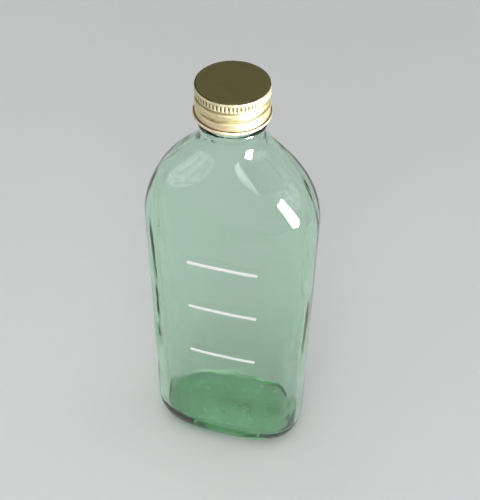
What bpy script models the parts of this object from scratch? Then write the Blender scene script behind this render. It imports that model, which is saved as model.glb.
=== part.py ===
"""Flat glass flask bottle with an aluminium screw cap.

The bottle stands on z = 0 with its axis on the origin. X is its width, Y its depth,
and the face with the printed lines looks towards -Y. Every length is in metres.
"""
import math

import bmesh
import bpy
from mathutils import Matrix, Vector

# Overall sizes of the glass
BODY_WIDTH = 0.0726
BODY_DEPTH = 0.0424
MOUTH_HEIGHT = 0.20145
NECK_LENGTH = 0.0182
WALL = 0.0033

# Plan of the body: an oval whose exponent is 2 for an ellipse and higher for a squarer one
BODY_EXPONENT = 2.7
NECK_EXPONENT = 2.0

# Shoulders, seen from the front (side_) and from the side (front_): an arc that starts upright,
# a straight slope and a hollow fillet that ends upright at the neck
SIDE_CROWN_RADIUS = 0.0420
SIDE_FILLET_RADIUS = 0.0105
SIDE_SLOPE_ANGLE = math.radians(45.0)
FRONT_CROWN_RADIUS = 0.0730
FRONT_FILLET_RADIUS = 0.0160
FRONT_SLOPE_ANGLE = math.radians(22.0)

# Heel and base
HEEL_HEIGHT = 0.0150
HEEL_INSET = 0.0098
BEARING_WIDTH = 0.0030
PUSH_UP_HEIGHT = 0.0013
PUSH_UP_SHARES = (0.35, 0.65, 0.88)

# Floor of the cavity: squarer than the wall round it, and turned, set aside and twisted a little,
# as the inside of blown glass often is
FLOOR_HEIGHT = 0.0106
FLOOR_RISE = 0.0008
FLOOR_RISE_SHARES = (0.7, 0.35)
FLOOR_INSET_X = 0.0057
FLOOR_INSET_Y = 0.0025
FLOOR_EXPONENT = 4.0
FLOOR_TURN_ANGLE = math.radians(4.0)
FLOOR_SHIFT_X = 0.0024
FLOOR_SHIFT_Y = 0.0012
FLOOR_TWIST = 0.0020
FLOOR_EDGE_HEIGHT = 0.0026

# Neck and screw finish
THREAD_DIAMETER = 0.0272
THREAD_DEPTH = 0.0010
THREAD_PITCH = 0.004233
THREAD_WIDTH = 0.0025
THREAD_TURNS = 1.15
THREAD_FADE_ANGLE = math.radians(35.0)
THREAD_END_ANGLE = math.radians(-50.0)
THREAD_DROP = 0.00375
BORE_DIAMETER = 0.0196
LIP_EDGE_RADIUS = 0.0007
BEAD_STAND_OUT = 0.0007
BEAD_WIDTH = 0.0027
BEAD_DROP = 0.0148

# Screw cap, a pressed aluminium sheet
CAP_SHEET = 0.00032
CAP_HEIGHT = 0.0134
CAP_RUNNING_GAP = 0.0003
CAP_RIM_RADIUS = 0.0008
CAP_GROOVE_DEPTH = 0.00085
CAP_GROOVE_WIDTH = 0.0022
CAP_GROOVE_START_ANGLE = math.radians(-140.0)
CAP_GROOVE_TURNS = 1.03
CAP_THREAD_GAP = 0.0004
KNURL_COUNT = 60
KNURL_DEPTH = 0.00035
KNURL_WIDTH = 0.00080
KNURL_TOP_DROP = 0.0011
KNURL_HEIGHT = 0.0026
NECKING_DEPTH = 0.00035
NECKING_WIDTH = 0.0017
CURL_RADIUS = 0.00075
CURL_STAND_OUT = 0.00085
CURL_TOP_ANGLE = math.radians(60.0)
CURL_END_ANGLE = math.radians(-120.0)

# Sealing wad
LINER_THICKNESS = 0.0015
LINER_EDGE = 0.0002
SEAL_GAP = 0.0003

# Printed lines, which run down to the right by their slope
LINE_LENGTH = 0.0299
LINE_WIDTH = 0.0017
LINE_SLOPE = -0.0225
LINE_THICKNESS = 0.00015
LINE_GAP = 0.0001
LINE_CENTRE_X = 0.0013
LINE_HEIGHT_SHARES = {"lower": 0.425, "middle": 0.6525, "upper": 0.8585}

# Fineness of the faceted solids
AROUND = 48
CAP_AROUND = 60

# Where the pieces lie, worked out from the sizes above
HALF_WIDTH = BODY_WIDTH / 2
HALF_DEPTH = BODY_DEPTH / 2
THREAD_RADIUS = THREAD_DIAMETER / 2
NECK_RADIUS = THREAD_RADIUS - THREAD_DEPTH
BORE_RADIUS = BORE_DIAMETER / 2
NECK_BASE = MOUTH_HEIGHT - NECK_LENGTH
LINER_BOTTOM = MOUTH_HEIGHT + SEAL_GAP
LINER_TOP = LINER_BOTTOM + LINER_THICKNESS
CAP_TOP = LINER_TOP + SEAL_GAP + CAP_SHEET
CAP_BOTTOM = CAP_TOP - CAP_HEIGHT
CAP_INNER_RADIUS = THREAD_RADIUS + CAP_RUNNING_GAP
CAP_OUTER_RADIUS = CAP_INNER_RADIUS + CAP_SHEET
LINER_RADIUS = CAP_INNER_RADIUS - KNURL_DEPTH - SEAL_GAP


def clear_scene():
    for obj in list(bpy.data.objects):
        bpy.data.objects.remove(obj, do_unlink=True)


def make_collection(name):
    collection = bpy.data.collections.new(name)
    bpy.context.scene.collection.children.link(collection)
    return collection


def make_material(name, colour, roughness, metallic=0.0, transmission=0.0):
    material = bpy.data.materials.new(name)
    material.use_nodes = True
    shader = material.node_tree.nodes["Principled BSDF"]
    shader.inputs["Base Color"].default_value = (*colour, 1.0)
    shader.inputs["Roughness"].default_value = roughness
    shader.inputs["Metallic"].default_value = metallic
    shader.inputs["Transmission Weight"].default_value = transmission
    material.diffuse_color = (*colour, 1.0)
    return material


def add_object(name, mesh, collection, parent=None, material=None):
    obj = bpy.data.objects.new(name, mesh)
    collection.objects.link(obj)
    if parent:
        obj.parent = parent
    if material:
        mesh.materials.append(material)
    return obj


def oval_ring(half_x, half_y, exponent, height):
    """One ring of the glass: a superellipse, which is a circle where both halves are equal."""
    points = []
    for step in range(AROUND):
        angle = math.tau * step / AROUND
        cosine = math.cos(angle)
        sine = math.sin(angle)
        x = half_x * math.copysign(abs(cosine) ** (2 / exponent), cosine)
        y = half_y * math.copysign(abs(sine) ** (2 / exponent), sine)
        points.append(Vector((x, y, height)))
    return points


def loft(name, rings):
    """A closed body through rings of points. The first and the last ring are single points."""
    shape = bmesh.new()
    loops = [[shape.verts.new(point) for point in ring] for ring in rings]
    for lower, upper in zip(loops, loops[1:]):
        count = max(len(lower), len(upper))
        for step in range(count):
            after = (step + 1) % count
            if len(lower) == 1:
                shape.faces.new((lower[0], upper[after], upper[step]))
            elif len(upper) == 1:
                shape.faces.new((lower[step], lower[after], upper[0]))
            else:
                shape.faces.new((lower[step], lower[after], upper[after], upper[step]))
    bmesh.ops.recalc_face_normals(shape, faces=shape.faces)
    mesh = bpy.data.meshes.new(name)
    shape.to_mesh(mesh)
    shape.free()
    mesh.shade_smooth()
    mesh.set_sharp_from_angle(angle=math.radians(40.0))
    return mesh


def spread(low, high, steps):
    """Evenly spaced values from low to high, both ends included."""
    return [low + (high - low) * step / steps for step in range(steps + 1)]


class Shoulder:
    """Half a body's width against height, from its upright side in to the upright neck."""

    def __init__(self, half, neck, crown, fillet, slope_angle):
        drop = half - neck
        # Where the step in is small, the two arcs alone make it and the slope is gentler
        self.angle = min(slope_angle, math.acos(max(0.0, 1 - drop / (crown + fillet))))
        self.half = half
        self.neck = neck
        self.crown = crown
        self.fillet = fillet
        turned_in = (crown + fillet) * (1 - math.cos(self.angle))
        self.slope = (drop - turned_in) / math.sin(self.angle)
        self.height = (crown + fillet) * math.sin(self.angle) + self.slope * math.cos(self.angle)

    def half_at(self, height):
        """Half the width at a height above the foot of the neck, negative below it."""
        above_start = height + self.height
        crown_rise = self.crown * math.sin(self.angle)
        slope_rise = self.slope * math.cos(self.angle)
        if above_start <= 0:
            return self.half
        if above_start <= crown_rise:
            return self.half - self.crown + math.sqrt(self.crown ** 2 - above_start ** 2)
        if above_start <= crown_rise + slope_rise:
            crown_in = self.crown * (1 - math.cos(self.angle))
            return self.half - crown_in - (above_start - crown_rise) * math.tan(self.angle)
        if height < 0:
            return self.neck + self.fillet - math.sqrt(self.fillet ** 2 - height ** 2)
        return self.neck


class GlassSkin:
    """The outer or the inner surface of the glass, inset from the outer one by a wall."""

    def __init__(self, wall, neck):
        self.neck = neck
        self.half_x = HALF_WIDTH - wall
        self.half_y = HALF_DEPTH - wall
        self.side = Shoulder(self.half_x, neck, SIDE_CROWN_RADIUS - wall,
                             SIDE_FILLET_RADIUS + wall, SIDE_SLOPE_ANGLE)
        self.front = Shoulder(self.half_y, neck, FRONT_CROWN_RADIUS - wall,
                              FRONT_FILLET_RADIUS + wall, FRONT_SLOPE_ANGLE)
        self.shoulder_start = NECK_BASE - max(self.side.height, self.front.height)

    def section(self, height):
        """Half width, half depth and exponent of the oval at a height."""
        half_x = self.side.half_at(height - NECK_BASE)
        half_y = self.front.half_at(height - NECK_BASE)
        share = (half_x - self.neck) / (self.half_x - self.neck)
        exponent = NECK_EXPONENT + (BODY_EXPONENT - NECK_EXPONENT) * share
        return half_x, half_y, exponent

    def ring(self, height, inset=0.0):
        half_x, half_y, exponent = self.section(height)
        return oval_ring(half_x - inset, half_y - inset, exponent, height)

    def shoulder_rings(self, steps):
        """Rings from the start of the shoulder to the neck, closer together near the neck."""
        rise = NECK_BASE - self.shoulder_start
        return [self.ring(self.shoulder_start + rise * math.sin(math.pi / 2 * step / steps))
                for step in range(steps + 1)]


def thread_crest_height(angle):
    """Height of the glass thread's crest at an unwrapped angle, a right-hand helix."""
    return MOUTH_HEIGHT - THREAD_DROP + THREAD_PITCH * (angle - THREAD_END_ANGLE) / math.tau


def helical_bump(angle, height, start, end, fade, width, crest_height):
    """How much of a helical ridge or groove is at a place, from 0 beside it to 1 on its crest."""
    best = 0.0
    turn = angle
    while turn > start:
        turn -= math.tau
    while turn <= end:
        offset = abs(height - crest_height(turn)) / (width / 2)
        if start <= turn and offset < 1:
            ends = min(1.0, (turn - start) / fade, (end - turn) / fade)
            best = max(best, ends * math.cos(math.pi / 2 * offset) ** 2)
        turn += math.tau
    return best


def finish_ring(radius, height):
    """A ring of the neck where the thread stands out of it."""
    start = THREAD_END_ANGLE - math.tau * THREAD_TURNS
    points = []
    for step in range(AROUND):
        angle = math.tau * step / AROUND
        bump = helical_bump(angle, height, start, THREAD_END_ANGLE, THREAD_FADE_ANGLE,
                            THREAD_WIDTH, thread_crest_height)
        reach = radius + THREAD_DEPTH * bump
        points.append(Vector((reach * math.cos(angle), reach * math.sin(angle), height)))
    return points


def base_rings():
    """The underside, from the middle of the push-up out to the bearing ring."""
    foot_x = HALF_WIDTH - HEEL_INSET
    foot_y = HALF_DEPTH - HEEL_INSET
    rim_x = foot_x - BEARING_WIDTH
    rim_y = foot_y - BEARING_WIDTH
    rings = [[Vector((0, 0, PUSH_UP_HEIGHT))]]
    for share in PUSH_UP_SHARES:
        height = PUSH_UP_HEIGHT * (1 - share ** 2) ** 2
        rings.append(oval_ring(rim_x * share, rim_y * share, BODY_EXPONENT, height))
    rings.append(oval_ring(rim_x, rim_y, BODY_EXPONENT, 0))
    return rings


def heel_rings(skin, steps):
    """The rounded heel, a quarter of an ellipse, from the bearing ring up to the upright side."""
    rings = []
    for turn in spread(0, math.pi / 2, steps):
        level = HEEL_HEIGHT * (1 - math.cos(turn))
        rings.append(skin.ring(level, HEEL_INSET * (1 - math.sin(turn))))
    return rings


def floor_ring(skin, share):
    """A ring of the cavity's floor, at a share of the way from its middle to its edge."""
    half_x = skin.half_x - FLOOR_INSET_X
    half_y = skin.half_y - FLOOR_INSET_Y
    turned = Matrix.Rotation(FLOOR_TURN_ANGLE, 3, "Z")
    height = FLOOR_HEIGHT + FLOOR_RISE * (1 - share ** 2)
    points = []
    for point in oval_ring(half_x * share, half_y * share, FLOOR_EXPONENT, height):
        twist = FLOOR_TWIST * (point.x / half_x) * (point.y / half_y)
        points.append(turned @ point + Vector((FLOOR_SHIFT_X, FLOOR_SHIFT_Y, twist)))
    return points


def floor_edge_rings(skin, steps):
    """The tight round from the floor's edge up to the upright wall, a quarter of an ellipse."""
    foot = floor_ring(skin, 1.0)
    wall = skin.ring(FLOOR_HEIGHT)
    rings = []
    for turn in spread(0, math.pi / 2, steps):
        inward = 1 - math.sin(turn)
        rise = FLOOR_EDGE_HEIGHT * (1 - math.cos(turn))
        rings.append([Vector((outer.x + (inner.x - outer.x) * inward,
                              outer.y + (inner.y - outer.y) * inward,
                              inner.z + rise)) for outer, inner in zip(wall, foot)])
    return rings


def neck_rings():
    """The outside of the neck and finish, from above the neck's foot to the lip."""
    bead_centre = MOUTH_HEIGHT - BEAD_DROP
    rings = []
    for turn in spread(-math.pi / 2, math.pi / 2, 4):
        reach = NECK_RADIUS + BEAD_STAND_OUT * math.cos(turn)
        level = bead_centre + BEAD_WIDTH / 2 * math.sin(turn)
        rings.append(oval_ring(reach, reach, NECK_EXPONENT, level))
    start = THREAD_END_ANGLE - math.tau * THREAD_TURNS
    low = thread_crest_height(start) - THREAD_WIDTH / 2
    high = thread_crest_height(THREAD_END_ANGLE) + THREAD_WIDTH / 2
    rows = round((high - low) / (THREAD_WIDTH / 4))
    rings += [finish_ring(NECK_RADIUS, level) for level in spread(low, high, rows)]
    for turn in spread(0, math.pi / 2, 2):
        reach = NECK_RADIUS - LIP_EDGE_RADIUS * (1 - math.cos(turn))
        level = MOUTH_HEIGHT - LIP_EDGE_RADIUS * (1 - math.sin(turn))
        rings.append(oval_ring(reach, reach, NECK_EXPONENT, level))
    for turn in spread(math.pi / 2, 0, 2):
        reach = BORE_RADIUS + LIP_EDGE_RADIUS * (1 - math.cos(turn))
        level = MOUTH_HEIGHT - LIP_EDGE_RADIUS * (1 - math.sin(turn))
        rings.append(oval_ring(reach, reach, NECK_EXPONENT, level))
    return rings


def glass_bottle(collection, material):
    """The blown glass: underside, heel, body, shoulders, finish, then the cavity down again."""
    outer = GlassSkin(0.0, NECK_RADIUS)
    inner = GlassSkin(WALL, BORE_RADIUS)
    rings = base_rings()
    rings += heel_rings(outer, 6)
    rings += [outer.ring(level) for level in spread(HEEL_HEIGHT, outer.shoulder_start, 3)[1:-1]]
    rings += outer.shoulder_rings(13)
    rings += neck_rings()
    rings += inner.shoulder_rings(10)[::-1]
    rings += floor_edge_rings(inner, 4)[::-1]
    rings += [floor_ring(inner, share) for share in FLOOR_RISE_SHARES]
    rings.append([Vector((FLOOR_SHIFT_X, FLOOR_SHIFT_Y, FLOOR_HEIGHT + FLOOR_RISE))])
    return add_object("glass_bottle", loft("glass_bottle", rings), collection, material=material)


def front_face(skin, x, height, gap):
    """The point of the front face at a width and a height, stood off by a gap."""
    half_x, half_y, exponent = skin.section(height)
    depth = half_y * (1 - abs(x / half_x) ** exponent) ** (1 / exponent)
    return Vector((x, -depth - gap, height))


def printed_line(name, share, collection, material):
    """A short bar of enamel that follows the front of the glass."""
    skin = GlassSkin(0.0, NECK_RADIUS)
    panel_top = NECK_BASE - skin.front.height
    centre = HEEL_HEIGHT + (panel_top - HEEL_HEIGHT) * share
    strip = bmesh.new()
    columns = []
    for x in spread(LINE_CENTRE_X - LINE_LENGTH / 2, LINE_CENTRE_X + LINE_LENGTH / 2, 12):
        middle = centre + LINE_SLOPE * (x - LINE_CENTRE_X)
        columns.append([strip.verts.new(front_face(skin, x, middle + side * LINE_WIDTH / 2, LINE_GAP))
                        for side in (-1, 1)])
    for left, right in zip(columns, columns[1:]):
        strip.faces.new((left[0], right[0], right[1], left[1]))
    mesh = bpy.data.meshes.new(name)
    strip.to_mesh(mesh)
    strip.free()
    obj = add_object(name, mesh, collection, material=material)
    solid = obj.modifiers.new("ink", "SOLIDIFY")
    solid.thickness = LINE_THICKNESS
    solid.offset = 1.0
    return obj


def cap_groove_height(angle):
    """Height of the rolled groove, which runs just under the glass thread."""
    half_widths = (THREAD_WIDTH + CAP_GROOVE_WIDTH) / 4
    return thread_crest_height(angle) - half_widths - CAP_THREAD_GAP


def cap_ring(radius, height, grooved=False):
    points = []
    end = CAP_GROOVE_START_ANGLE + math.tau * CAP_GROOVE_TURNS
    for step in range(CAP_AROUND):
        angle = math.tau * step / CAP_AROUND
        reach = radius
        if grooved:
            reach -= CAP_GROOVE_DEPTH * helical_bump(angle, height, CAP_GROOVE_START_ANGLE, end,
                                                     THREAD_FADE_ANGLE, CAP_GROOVE_WIDTH, cap_groove_height)
        points.append(Vector((reach * math.cos(angle), reach * math.sin(angle), height)))
    return points


def cap_shell_rings():
    """The cap's sheet: down its outside, round the curl and up its inside."""
    knurl_bottom = CAP_TOP - KNURL_TOP_DROP - KNURL_HEIGHT
    necking_bottom = knurl_bottom - NECKING_WIDTH
    curl_height = CAP_BOTTOM + CURL_RADIUS
    curl_centre = CAP_OUTER_RADIUS + CURL_STAND_OUT - CURL_RADIUS
    skirt_bottom = curl_height + CURL_RADIUS * math.sin(CURL_TOP_ANGLE)
    thread_top = necking_bottom - NECKING_DEPTH
    thread_bottom = cap_groove_height(CAP_GROOVE_START_ANGLE) - CAP_GROOVE_WIDTH / 2
    thread_rows = spread(thread_top, thread_bottom, 9)
    inner_top = CAP_TOP - CAP_SHEET
    upper_inner = CAP_INNER_RADIUS - KNURL_DEPTH
    rings = [[Vector((0, 0, CAP_TOP))]]
    for turn in spread(0, math.pi / 2, 3):
        reach = CAP_OUTER_RADIUS - CAP_RIM_RADIUS * (1 - math.sin(turn))
        rings.append(cap_ring(reach, CAP_TOP - CAP_RIM_RADIUS * (1 - math.cos(turn))))
    rings.append(cap_ring(CAP_OUTER_RADIUS, knurl_bottom))
    rings.append(cap_ring(CAP_OUTER_RADIUS - NECKING_DEPTH, knurl_bottom - NECKING_DEPTH))
    rings.append(cap_ring(CAP_OUTER_RADIUS - NECKING_DEPTH, necking_bottom))
    rings += [cap_ring(CAP_OUTER_RADIUS, level, True) for level in thread_rows]
    rings.append(cap_ring(CAP_OUTER_RADIUS + CURL_STAND_OUT / 4, skirt_bottom))
    for turn in spread(CURL_TOP_ANGLE, CURL_END_ANGLE, 5):
        rings.append(cap_ring(curl_centre + CURL_RADIUS * math.cos(turn),
                              curl_height + CURL_RADIUS * math.sin(turn)))
    rings.append(cap_ring(CAP_INNER_RADIUS, curl_height))
    rings += [cap_ring(CAP_INNER_RADIUS, level, True) for level in thread_rows[::-1]]
    rings.append(cap_ring(upper_inner, necking_bottom))
    rings.append(cap_ring(upper_inner, inner_top - CAP_SHEET))
    rings.append(cap_ring(upper_inner - CAP_SHEET, inner_top))
    rings.append([Vector((0, 0, inner_top))])
    return rings


def knurl_cutters(collection, parent):
    """A ring of upright pins, one for each flute of the knurled band."""
    pins = bmesh.new()
    radius = KNURL_WIDTH / 2
    top = CAP_TOP - KNURL_TOP_DROP
    for step in range(KNURL_COUNT):
        angle = math.tau * (step + 0.5) / KNURL_COUNT
        pin = bmesh.ops.create_cone(pins, cap_ends=True, segments=6, radius1=radius, radius2=radius,
                                    depth=KNURL_HEIGHT)["verts"]
        reach = CAP_OUTER_RADIUS + radius - KNURL_DEPTH
        place = Vector((reach * math.cos(angle), reach * math.sin(angle), top - KNURL_HEIGHT / 2))
        bmesh.ops.translate(pins, verts=pin, vec=place)
    mesh = bpy.data.meshes.new("knurl_cutters")
    pins.to_mesh(mesh)
    pins.free()
    cutter = add_object("knurl_cutters", mesh, collection, parent)
    cutter.hide_render = True
    cutter.display_type = "WIRE"
    return cutter


def cap_shell(collection, cutters, axis, material):
    shell = add_object("cap_shell", loft("cap_shell", cap_shell_rings()), collection, axis, material)
    cut = shell.modifiers.new("knurl", "BOOLEAN")
    cut.operation = "DIFFERENCE"
    cut.object = knurl_cutters(cutters, axis)
    return shell


def cap_liner(collection, axis, material):
    """The wad: a disc that lies between the lip of the glass and the top of the cap."""
    disc = bmesh.new()
    bmesh.ops.create_cone(disc, cap_ends=True, segments=AROUND, radius1=LINER_RADIUS,
                          radius2=LINER_RADIUS, depth=LINER_THICKNESS)
    bmesh.ops.translate(disc, verts=disc.verts, vec=(0, 0, LINER_BOTTOM + LINER_THICKNESS / 2))
    mesh = bpy.data.meshes.new("cap_liner")
    disc.to_mesh(mesh)
    disc.free()
    obj = add_object("cap_liner", mesh, collection, axis, material)
    edge = obj.modifiers.new("edge", "BEVEL")
    edge.width = LINER_EDGE
    edge.segments = 1
    edge.limit_method = "ANGLE"
    return obj


def build():
    clear_scene()
    parts = make_collection("glass_flask_bottle")
    cutters = make_collection("cutters")
    glass = make_material("bottle_glass", (0.80, 0.93, 0.87), 0.02, transmission=1.0)
    enamel = make_material("white_enamel", (0.90, 0.90, 0.88), 0.45)
    aluminium = make_material("gold_aluminium", (0.83, 0.72, 0.50), 0.28, metallic=1.0)
    foam = make_material("liner_foam", (0.90, 0.90, 0.88), 0.80)
    axis = bpy.data.objects.new("cap_axis", None)
    parts.objects.link(axis)
    glass_bottle(parts, glass)
    for level, share in LINE_HEIGHT_SHARES.items():
        printed_line(f"printed_line_{level}", share, parts, enamel)
    cap_shell(parts, cutters, axis, aluminium)
    cap_liner(parts, axis, foam)


build()
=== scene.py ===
"""Looks of the flat glass flask bottle: glass, enamel lines, rolled screw cap and its wad.

Every length is in metres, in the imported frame: the bottle stands on z = 0 with its axis on the
origin, X is its width, Y its depth, and the printed lines face -Y.
"""
import math

import bpy
import numpy as np
from mathutils import Matrix, Quaternion, Vector, noise
from mathutils.bvhtree import BVHTree


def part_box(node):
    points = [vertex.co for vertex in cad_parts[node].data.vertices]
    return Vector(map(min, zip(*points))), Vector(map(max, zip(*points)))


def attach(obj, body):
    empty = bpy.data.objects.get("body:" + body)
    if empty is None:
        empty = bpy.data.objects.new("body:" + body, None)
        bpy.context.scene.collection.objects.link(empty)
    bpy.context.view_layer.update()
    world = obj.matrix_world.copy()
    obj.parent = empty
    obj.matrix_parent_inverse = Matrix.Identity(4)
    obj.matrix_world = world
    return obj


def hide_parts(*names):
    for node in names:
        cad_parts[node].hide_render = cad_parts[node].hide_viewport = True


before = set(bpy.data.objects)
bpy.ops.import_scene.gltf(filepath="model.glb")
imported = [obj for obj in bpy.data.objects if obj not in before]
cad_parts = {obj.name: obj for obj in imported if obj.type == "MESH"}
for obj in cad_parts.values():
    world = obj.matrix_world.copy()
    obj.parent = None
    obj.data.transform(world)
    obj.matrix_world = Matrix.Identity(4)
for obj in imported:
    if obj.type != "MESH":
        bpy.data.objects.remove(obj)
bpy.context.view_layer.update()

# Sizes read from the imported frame
GLASS_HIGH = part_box("glass_bottle")[1]
SHELL_LOW, SHELL_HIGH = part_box("cap_shell")
LINER_LOW, LINER_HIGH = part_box("cap_liner")
HALF_WIDTH = GLASS_HIGH.x
HALF_DEPTH = GLASS_HIGH.y
MOUTH_HEIGHT = GLASS_HIGH.z
CAP_TOP = SHELL_HIGH.z
CAP_BOTTOM = SHELL_LOW.z
CURL_OUTER_RADIUS = SHELL_HIGH.x
LINER_RADIUS = LINER_HIGH.x

# Plan and shoulders of the glass, the same as the CAD's
WALL = 0.0033
NECK_LENGTH = 0.0182
NECK_RADIUS = 0.0126
BORE_RADIUS = 0.0098
BODY_EXPONENT = 2.7
NECK_EXPONENT = 2.0
SIDE_CROWN_RADIUS = 0.0420
SIDE_FILLET_RADIUS = 0.0105
SIDE_SLOPE_ANGLE = math.radians(45.0)
FRONT_CROWN_RADIUS = 0.0730
FRONT_FILLET_RADIUS = 0.0160
FRONT_SLOPE_ANGLE = math.radians(22.0)
NECK_BASE = MOUTH_HEIGHT - NECK_LENGTH

# Heel and base
HEEL_HEIGHT = 0.0150
HEEL_INSET = 0.0098
BEARING_WIDTH = 0.0030
PUSH_UP_HEIGHT = 0.0013
STIPPLE_COUNT = 44
STIPPLE_HEIGHT = 0.00012
STIPPLE_SHARPNESS = 1.6
STIPPLE_SPREAD_SHARE = 0.3
STIPPLE_MARGIN_SHARE = 0.1

# Floor of the cavity, squarer than the wall round it, and turned, set aside and twisted a little
FLOOR_HEIGHT = 0.0106
FLOOR_RISE = 0.0008
FLOOR_INSET_X = 0.0057
FLOOR_INSET_Y = 0.0025
FLOOR_EXPONENT = 4.0
FLOOR_TURN_ANGLE = math.radians(4.0)
FLOOR_SHIFT = (0.0024, 0.0012, 0.0)
FLOOR_TWIST = 0.0020
FLOOR_EDGE_HEIGHT = 0.0026
HAZE_START_SHARE = 0.7

# Screw finish, and the whole turns that the thread and the cap's groove lie within
THREAD_DEPTH = 0.0010
THREAD_PITCH = 0.004233
THREAD_WIDTH = 0.0025
THREAD_TURNS = 1.15
THREAD_FADE_ANGLE = math.radians(35.0)
THREAD_END_ANGLE = math.radians(-50.0)
THREAD_DROP = 0.00375
HELIX_TURNS = range(-3, 3)
LIP_EDGE_RADIUS = 0.0007
BEAD_STAND_OUT = 0.0007
BEAD_WIDTH = 0.0027
BEAD_DROP = 0.0148

# Unevenness of blown glass: how far each surface wanders and over what distance
SWELL_LENGTH = 0.022
RIPPLE_LENGTH = 0.0075
OUTER_SWELL = 0.00003
INNER_SWELL = 0.00022
FLOOR_SWELL = 0.00055
INNER_RIPPLE = 0.00008

# Runs down the inside of the wall, weak in front and back and strongest at the narrow sides
RUN_LENGTH = 0.0050
RUN_STRETCH_SHARE = 0.10
INNER_RUN = 0.00040
FRONT_RUN_SHARE = 0.25
SIDE_START_SHARE = 0.4
SIDE_END_SHARE = 0.9

# Mould seams up the narrow sides, with points across half of each
SEAM_HEIGHT = 0.00006
SEAM_WIDTH = 0.0007
SEAM_POINT_SHARES = (0.25, 0.55)

# Offsets that keep the noises of the surfaces apart
OUTER_SWELL_OFFSET = 3.1
INNER_SWELL_OFFSET = 11.7
RIPPLE_OFFSET = 5.3
RUN_OFFSET = 7.9
SHEET_OFFSET = 2.2

# Seeds, small bubbles in the glass: angle round the axis in degrees, height, length
SEEDS = (
    (-112.0, 0.1842, 0.0017),
    (104.0, 0.1700, 0.0008),
    (97.0, 0.1655, 0.0006),
    (92.0, 0.1625, 0.0007),
    (86.0, 0.1600, 0.0005),
    (-12.0, 0.1010, 0.0007),
    (-14.0, 0.0830, 0.0006),
    (-9.0, 0.0790, 0.0005),
    (172.0, 0.1180, 0.0005),
    (-150.0, 0.0560, 0.0006),
    (-38.0, 0.1330, 0.0004),
    (60.0, 0.0900, 0.0006),
)
SEED_DEPTH = 0.0014
SEED_HEIGHT_SHARE = 0.8
SEED_FLATNESS_SHARE = 0.6

# Screw cap, a pressed aluminium sheet
CAP_SHEET = 0.00032
CAP_OUTER_RADIUS = 0.01422
CAP_RIM_RADIUS = 0.0008
CAP_TOP_DISH = 0.00010
CAP_GROOVE_DEPTH = 0.00085
CAP_GROOVE_WIDTH = 0.0022
CAP_GROOVE_START_ANGLE = math.radians(-140.0)
CAP_GROOVE_TURNS = 1.03
CAP_THREAD_GAP = 0.0004
KNURL_COUNT = 60
KNURL_DEPTH = 0.00035
KNURL_WIDTH = 0.00108
KNURL_EXPONENT = 0.7
KNURL_TOP_DROP = 0.0011
KNURL_HEIGHT = 0.0026
KNURL_END = 0.00045
NECKING_DEPTH = 0.00035
NECKING_WIDTH = 0.0017
NECKING_EDGE = 0.00040
CURL_HEIGHT = 0.0015
CURL_TURN_ANGLE = math.radians(255.0)
CURL_BLEND = CURL_HEIGHT / 4
SHEET_WANDER = 0.00002
SHEET_WANDER_LENGTH = 0.006

# Marks on the cap: where it is rubbed, and where sheen, shade and a warm reflection are painted
# How far a sheen painted over the cap's side reaches, and how strongly it shows
SIDE_SHEEN_REACH = 0.0012
SIDE_SHEEN_SHARE = 0.55
RIDGE_RUB_SHARE = 0.35
# How strongly shade is painted into the skirt's recesses and into the crease over the curl
SKIRT_SHADE_SHARE = 0.65
CREASE_SHADE_SHARE = 0.5
CREASE_WIDTH = 0.0003
# Height and fade of a warm reflection painted low on the cap's skirt and curl
WARM_REFLECTION_HEIGHT = 0.0052
WARM_REFLECTION_FADE = 0.0022

# Sealing wad
LINER_EDGE = 0.00025
LINER_CENTRE_RADIUS = 0.0008
IMPRINT_DEPTH = 0.00018
IMPRINT_WIDTH = 0.0026

# Printed lines
LINE_CENTRE_X = 0.0013
LINE_LENGTH = 0.0299
LINE_WIDTH = 0.00170
LINE_SLOPE = -0.0225
LINE_BOW = 0.00035
LINE_THICKNESS = 0.00013
LINE_SINK = 0.00002
LINE_END_SHARE = 0.25
LINE_END_STEEPNESS = 3.0
LINE_EDGE_EXPONENT = 0.35
LINE_SHARP_ANGLE = math.radians(50.0)
LINE_NODES = ("printed_line_lower", "printed_line_middle", "printed_line_upper")

# Fineness of the meshes
GLASS_COLUMNS = 288
FLUTE_COLUMNS = 8
CAP_COLUMNS = KNURL_COUNT * FLUTE_COLUMNS
LINER_COLUMNS = 180
STAGE_COLUMNS = 128
SEED_COLUMNS = 14
SEED_ROWS = 8
GLASS_CENTRE_SHARE = 0.06
CAP_CENTRE_SHARE = 0.04
STAGE_RING_SHARES = (0.02, 0.2, 0.5, 1.0)
PUSH_UP_STEPS = 24
BEARING_STEPS = 8
HEEL_STEPS = 20
BODY_STEPS = 44
SHOULDER_STEPS = 46
BEAD_STEPS = 12
FINISH_STEPS = 34
LIP_STEPS = 6
FLOOR_STEPS = 16
FLOOR_EDGE_STEPS = 18
CAVITY_STEPS = 40
CAP_TOP_STEPS = 14
CAP_RIM_STEPS = 8
CAP_SIDE_STEPS = 56
CURL_STEPS = 20
IMPRINT_STEPS = 40
LINER_EDGE_STEPS = 10
LINER_TOP_STEPS = 10
LINE_STEPS = 150
LINE_ROWS = 10
STAGE_BEND_STEPS = 16

# Small enough never to matter, and large enough to divide by
TINY = 1e-12

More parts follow.
